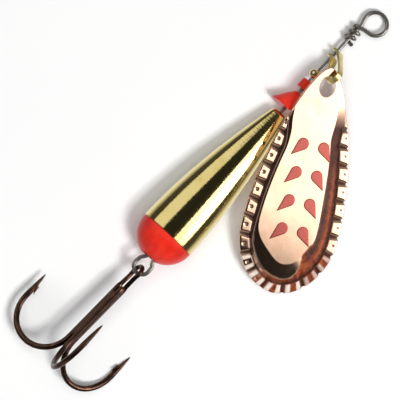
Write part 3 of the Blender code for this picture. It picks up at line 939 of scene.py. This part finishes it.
def blade_rings():
    """Loops from the rim inwards, each a list of (x, y, height, (painted shade and dark reflection,
    brown reflection, painted highlight)).
    """
    half, length = evenly(blade_outline(), RIM_STEPS)
    sides = [OUTER] * len(half) + [INNER] * (len(half) - 2)
    order = [*range(len(half)), *range(len(half) - 2, 0, -1)]
    line = rib_line(half, length)
    columns = []
    for side, i in zip(sides, order):
        x, y = half[i]
        spine = min(max(x, SPINE_START), SPINE_END)
        distance = hypot(x - spine, y)
        section = rim_section(x, side)
        turns, pitch = rib_turns(line[i], line[-1], side)
        bulge = RIB_BULGE * ramp(x, *RIBS_GROW) * rib(turns, 0)
        column = []
        for inset in ring_insets(section[1], section[2], distance * 0.96):
            share = (inset - bulge * (1 - ramp(inset, 0.2, 1.0))) / distance
            px, py = x + (spine - x) * share, side * y * (1 - share)
            # The crimps' relief, with their painted shade and painted highlight
            relief, painted_dark_mask, painted_highlight = rim_relief(x, inset, section[1], turns, pitch, side)
            # Painted dark and brown reflections
            dark, brown_reflection = painted_reflections(x, inset, section, side)
            height = blade_height(px, py, inset, section) + relief
            column.append((px, py, height, (max(painted_dark_mask, dark), brown_reflection, painted_highlight)))
        columns.append(column)
    return list(zip(*columns))


def blade(look):
    """A stamped spoon: raised panel, sloping shoulder and crimped rim, with an oval hole."""
    bm = bmesh.new()
    # Vertex layers: painted shade and dark reflection, brown reflection, pale painted highlight
    layers = [bm.verts.layers.float.new(name) for name in ("painted_dark_mask", "brown_reflection", "painted_highlight")]
    loops = blade_rings()
    rims = {}
    for face, level in (("top", 1), ("bottom", -1)):
        rings = []
        for k, loop in enumerate(loops):
            round_off = (0.45, 0.85, 1.0)[min(k, 2)]
            lift = level * round_off * BLADE_THICKNESS / 2
            ring = []
            for x, y, z, worn in loop:
                vert = bm.verts.new((x, y, z + lift))
                for layer, value in zip(layers, worn):
                    vert[layer] = value
                ring.append(vert)
            rings.append(ring)
        for outer, inner in zip(rings, rings[1:]):
            bridge(bm, outer, inner)
        inmost = rings[-1]
        edges = [bm.edges.get((inmost[i], inmost[i - 1])) for i in range(len(inmost))]
        bmesh.ops.triangle_fill(bm, use_beauty=True, use_dissolve=False, edges=edges)
        rims[face] = rings[0]
    bridge(bm, rims["top"], rims["bottom"])
    piece = finish("blade_stamped", bm, look, BLADE, "blade", ["blade"], 50)
    oval = bmesh.new()
    bmesh.ops.create_cone(oval, cap_ends=True, segments=96, radius1=1, radius2=1, depth=6)
    bmesh.ops.scale(oval, vec=(HOLE_HALF_LENGTH, HOLE_HALF_WIDTH, 1), verts=oval.verts)
    bmesh.ops.translate(oval, vec=(HOLE_CENTRE, 0, 0), verts=oval.verts)
    cut(piece, oval)


def drop_outline():
    """A teardrop with its tip at +X, about the centre of its round head."""
    tip = DROP_LENGTH - DROP_HEAD
    touch = degrees(asin(DROP_HEAD / tip))
    head = arc((0, 0), DROP_HEAD, 90 - touch, 270 + touch, 30)
    start, end = Vector(head[-1]), Vector(head[0])
    point = Vector((tip, 0))
    side = [start.lerp(point, i / 12) for i in range(1, 12)]
    back = [point.lerp(end, i / 12) for i in range(12)]
    return [Vector(p) for p in head] + side + back


def painted_drops(look):
    bm = bmesh.new()
    edge = bm.verts.layers.float.new("edge")
    outline = drop_outline()
    # Size, height and darkness of each ring of a drop, from its edge inwards
    levels = (
        (1.0, 0.0, 1.0),
        (0.97, 0.018, 1.0),
        (0.9, 0.028, 0.75),
        (0.8, 0.03, 0.0),
        (0.4, 0.03, 0.0),
    )
    for row in range(DROP_ROWS):
        for column in DROP_COLUMNS:
            lean = radians(DROP_TURN if column > 0 else -DROP_TURN)
            turn = Matrix.Rotation(lean, 2)
            direction = Vector((cos(lean), sin(lean)))
            middle = Vector((DROP_FIRST + DROP_PITCH * row, column))
            head = middle - direction * (DROP_LENGTH / 2 - DROP_HEAD)
            rings = []
            for size, height, dark in levels:
                ring = []
                for point in outline:
                    x, y = head + turn @ (point * size)
                    z = panel_height(x, y) + BLADE_THICKNESS / 2 + height + 0.004
                    vert = bm.verts.new((x, y, z))
                    vert[edge] = dark
                    ring.append(vert)
                rings.append(ring)
            for first, second in zip(rings, rings[1:]):
                bridge(bm, first, second)
            bm.faces.new(rings[-1])
            bm.faces.new(rings[0])
    finish("blade_drops_painted", bm, look, BLADE, "blade", sharp_from=60)


# ---------------------------------------------------------------- treble

def strand(angle):
    """Where a hook's shank lies around the treble's middle, from straight up towards -Y."""
    return Vector((0, -sin(radians(angle)), cos(radians(angle))))


def hook_path(angle, front):
    """From the hook's point round the bend and up its shank: places, radii and flattening."""
    out = strand(angle)
    middle = HOOK_STRAND_OFFSET + HOOK_BEND_RADIUS
    outer = HOOK_STRAND_OFFSET + 2 * HOOK_BEND_RADIUS
    path, radii, flat = [], [], []
    reach = HOOK_BEND_START - HOOK_POINT
    for i in range(36):
        u = i / 36
        x = HOOK_POINT + reach * u
        path.append((x, outer + 0.15 * (1 - u) ** 2))
        radii.append(max(0.03, HOOK_WIRE * sqrt(min(1.0, (HOOK_POINT - x) / HOOK_TAPER))))
        flat.append(1 + 0.06 * ramp(u, 0.2, 0.6))
    for x, y in arc((HOOK_BEND_START, middle), HOOK_BEND_RADIUS, 90, 270, 60):
        path.append((x, y))
        radii.append(HOOK_WIRE)
        flat.append(1.06)
    for i in range(1, 25):
        path.append((HOOK_BEND_START + (front - HOOK_BEND_START) * i / 24, HOOK_STRAND_OFFSET))
        radii.append(HOOK_WIRE)
        flat.append(1.06 - 0.06 * ramp(i / 24, 0, 0.4))
    return [Vector((x, 0, 0)) + out * y for x, y in path], radii, flat


def barb(bm, angle):
    """A sliver cut up from the wire behind the point, its tip facing back towards the bend."""
    out = strand(angle)
    side = out.cross(Vector((1, 0, 0)))
    outer = HOOK_STRAND_OFFSET + 2 * HOOK_BEND_RADIUS
    inner = outer - HOOK_WIRE
    root = HOOK_POINT - 2.3
    # Distance from the root, lift off the wire, half width and half thickness
    sections = (
        (0.0, 0.10, 0.30, 0.26),
        (-0.5, 0.02, 0.30, 0.24),
        (-1.0, -0.12, 0.22, 0.16),
        (-1.45, -0.32, 0.10, 0.07),
    )
    rings = []
    for back, lift, wide, thick in sections:
        centre = Vector((root + back, 0, 0)) + out * (inner + lift)
        ring = []
        for k in range(12):
            turn = 2 * pi * k / 12
            ring.append(bm.verts.new(centre + side * wide * cos(turn) + out * thick * sin(turn)))
        rings.append(ring)
    for first, second in zip(rings, rings[1:]):
        bridge(bm, first, second)
    bm.faces.new(rings[0])
    bm.faces.new(rings[-1])


def treble_double(look):
    """One wire: point, bend, shank, eye, shank, bend and point."""
    first, first_radii, first_flat = hook_path(HOOK_ANGLES["left"], DOUBLE_SHANKS_END)
    second, second_radii, second_flat = hook_path(HOOK_ANGLES["right"], DOUBLE_SHANKS_END)
    tilt = radians(HOOK_EYE_TILT)
    eye_side = Vector((0, cos(tilt), sin(tilt)))
    eye = []
    for x, y in arc((0, 0), HOOK_EYE_RADIUS, HOOK_EYE_OPEN, -HOOK_EYE_OPEN, 54):
        eye.append(Vector((x, 0, 0)) + eye_side * y)
    run = [first[-1], *necks(first[-1], eye[0]), *eye, *necks(eye[-1], second[-1]), second[-1]]
    path = [*first, *smoothed(run, 5)[1:-1]]
    count = len(path) - len(first)
    path += reversed(second)
    bm = bmesh.new()
    radii = [*first_radii, *[HOOK_EYE_WIRE] * count, *reversed(second_radii)]
    flat = [*first_flat, *[1.0] * count, *reversed(second_flat)]
    sweep(bm, path, radii, strand(HOOK_ANGLES["left"]), flat=flat)
    barb(bm, HOOK_ANGLES["left"])
    barb(bm, HOOK_ANGLES["right"])
    stands_for = ["treble_double_hook"]
    finish("treble_double_forged", bm, look, TREBLE, "treble", stands_for)


def necks(start, end):
    """Points strictly between a shank's end and the eye."""
    return [start.lerp(end, i / 8) for i in range(1, 8)]


def treble_single(look):
    """The third hook, whose shank ends in a slanting cut below the eye."""
    path, radii, flat = hook_path(HOOK_ANGLES["top"], SINGLE_SHANK_END)
    for i in range(1, 6):
        path.append(path[-1] + Vector((0.08, 0, 0)))
        radii.append(HOOK_WIRE * (1 - 0.1 * i))
        flat.append(1.0)
    bm = bmesh.new()
    sweep(bm, path, radii, strand(HOOK_ANGLES["top"]), flat=flat)
    barb(bm, HOOK_ANGLES["top"])
    stands_for = ["treble_single_hook"]
    finish("treble_single_forged", bm, look, TREBLE, "treble", stands_for)


def braze(look):
    """Metal that fills the grooves between the three shanks."""
    bm = bmesh.new()
    path, radii = [], []
    for i in range(31):
        u = i / 30
        path.append((BRAZE_START - BRAZE_LENGTH * u, 0, 0))
        radii.append(BRAZE_RADIUS * min(1.0, 12 * u + 0.25, 12 * (1 - u) + 0.25))
    sweep(bm, path, radii, (0, 0, 1), sides=32)
    finish("treble_braze", bm, look, TREBLE, "treble")


# ---------------------------------------------------------------- table, light and camera

def table_top():
    look = Look("pale_table", Specular_IOR_Level=0.2)
    grain = look.noise((0.02, 0.02, 0.02), detail=3)
    colour = look.colours(grain, [(0.3, (0.91, 0.91, 0.91)), (0.7, (0.93, 0.93, 0.925))])
    fine = look.noise((0.8, 0.8, 0.8), detail=3)
    roughness = look.between(fine, 0.3, 0.7, 0.7, 0.85)
    bm = bmesh.new()
    bmesh.ops.create_circle(bm, cap_ends=True, segments=64, radius=TABLE_RADIUS)
    mesh = bpy.data.meshes.new("table_top")
    bm.to_mesh(mesh)
    bm.free()
    mesh.materials.append(look.use(Base_Color=colour, Roughness=roughness))
    table = bpy.data.objects.new("table_top", mesh)
    bpy.context.collection.objects.link(table)
    # The lower half of the room stands in for the table in what the metal mirrors
    table.visible_glossy = False


def room():
    """The studio, for the metal to mirror: dark above, lighter beyond both ends of the lure."""
    world = bpy.data.worlds.new("studio")
    world.use_nodes = True
    bpy.context.scene.world = world
    tree = world.node_tree
    direction = add_node(tree, "TexCoord", output="Generated")
    split = add_node(tree, "SeparateXYZ", {0: direction}).node
    height = add_node(tree, "MapRange", {"Value": split.outputs["Z"], "From Min": -1})
    walls = [(-0.7, 0.85), (-0.3, 0.06), (0.0, 0.05), (0.1, 0.03), (1.0, 0.018)]
    shade = colour_ramp(tree, height, greys([((z + 1) / 2, grey) for z, grey in walls]))
    along = add_node(tree, "Math", {0: split.outputs["X"]}, operation="ABSOLUTE")
    beyond = {"Value": along, "From Min": 0.6, "From Max": 0.95, "To Max": 0.4}
    ends = add_node(tree, "MapRange", beyond)
    lighter = add_node(tree, "Math", {0: shade, 1: ends}, operation="MAXIMUM")
    tree.links.new(lighter, tree.nodes["Background"].inputs["Color"])


def lamp(name, from_top, along, size, radiance, reflected):
    """A panel aimed at the lure: degrees from straight above towards -Y, then towards +X.

    Reflected panels are what the metal mirrors; the others light the table and the paint.
    """
    light = bpy.data.lights.new(name, "AREA")
    light.shape = "RECTANGLE"
    light.size, light.size_y = size
    light.energy = radiance * pi * size[0] * size[1]
    panel = bpy.data.objects.new(name, light)
    bpy.context.collection.objects.link(panel)
    turn = Matrix.Rotation(radians(from_top), 4, "X") @ Matrix.Rotation(radians(along), 4, "Y")
    panel.matrix_world = turn @ Matrix.Translation((0, 0, LIGHT_DISTANCE))
    panel.visible_glossy = reflected
    panel.visible_diffuse = not reflected
    return light


def shade_panel(light, fade, stops):
    """Lets a panel's light grow from nothing over a share of its length, and vary up its height."""
    light.use_nodes = True
    tree = light.node_tree
    place = add_node(tree, "NewGeometry", output="Parametric")
    split = add_node(tree, "SeparateXYZ", {0: place}).node
    grow = add_node(tree, "MapRange", {"Value": split.outputs["X"], "From Max": fade})
    height = colour_ramp(tree, split.outputs["Y"], greys(stops))
    strength = add_node(tree, "Math", {0: grow, 1: height}, operation="MULTIPLY")
    tree.links.new(strength, tree.nodes["Emission"].inputs["Strength"])


def camera():
    """Straight above the lure, turned so that the shaft climbs to the picture's upper right."""
    turn = radians(SHAFT_TURN_IN_PICTURE)
    right = Vector((cos(turn), -sin(turn), 0))
    up = Vector((sin(turn), cos(turn), 0))
    start = SHAFT.translation / MM
    target = Vector((start.x + LOOK_AT[0], start.y + LOOK_AT[1], LOOK_HEIGHT))
    lens = bpy.data.cameras.new("camera")
    lens.sensor_width = SENSOR_WIDTH
    lens.lens = SENSOR_WIDTH * CAMERA_DISTANCE / PICTURE_WIDTH
    lens.clip_start = 0.01
    lens.clip_end = 20
    view = bpy.data.objects.new("camera", lens)
    bpy.context.collection.objects.link(view)
    place = target + Vector((0, 0, CAMERA_DISTANCE))
    view.matrix_world = matrix_from(right, up, Vector((0, 0, 1)), place * MM)
    bpy.context.scene.camera = view


def lights():
    """A panel on each side for the metal to mirror, and two lamps for the table and the paint."""
    key = lamp("key_softbox", 54, 18, (0.55, 0.78), 5.5, reflected=True)
    shade_panel(key, 0.44, [(0.0, 0.0), (0.12, 1.0), (0.5, 1.0), (0.66, 0.47)])
    lamp("left_softbox", -55.5, 4, (0.9, 0.73), 0.77, reflected=True)
    lamp("shadow_lamp", 24, 0, (0.18, 0.18), 44, reflected=False)
    lamp("overhead_fill", -4, 0, (0.5, 0.5), 3.6, reflected=False)


def build():
    red = red_plastic()
    bronze = bronze_finish()
    shaft_wire(drawn_steel())
    drop_body(gold_plate())
    tail_cap(red_enamel())
    cone_spacer(red)
    tube_bead(red)
    brass_bead(turned_brass())
    clevis(rolled_brass())
    blade(copper_plate())
    painted_drops(drop_paint())
    treble_double(bronze)
    treble_single(bronze)
    braze(braze_finish())
    table_top()
    room()
    lights()
    camera()
    bpy.context.scene.view_settings.view_transform = "Standard"


build()
bpy.context.view_layer.update()
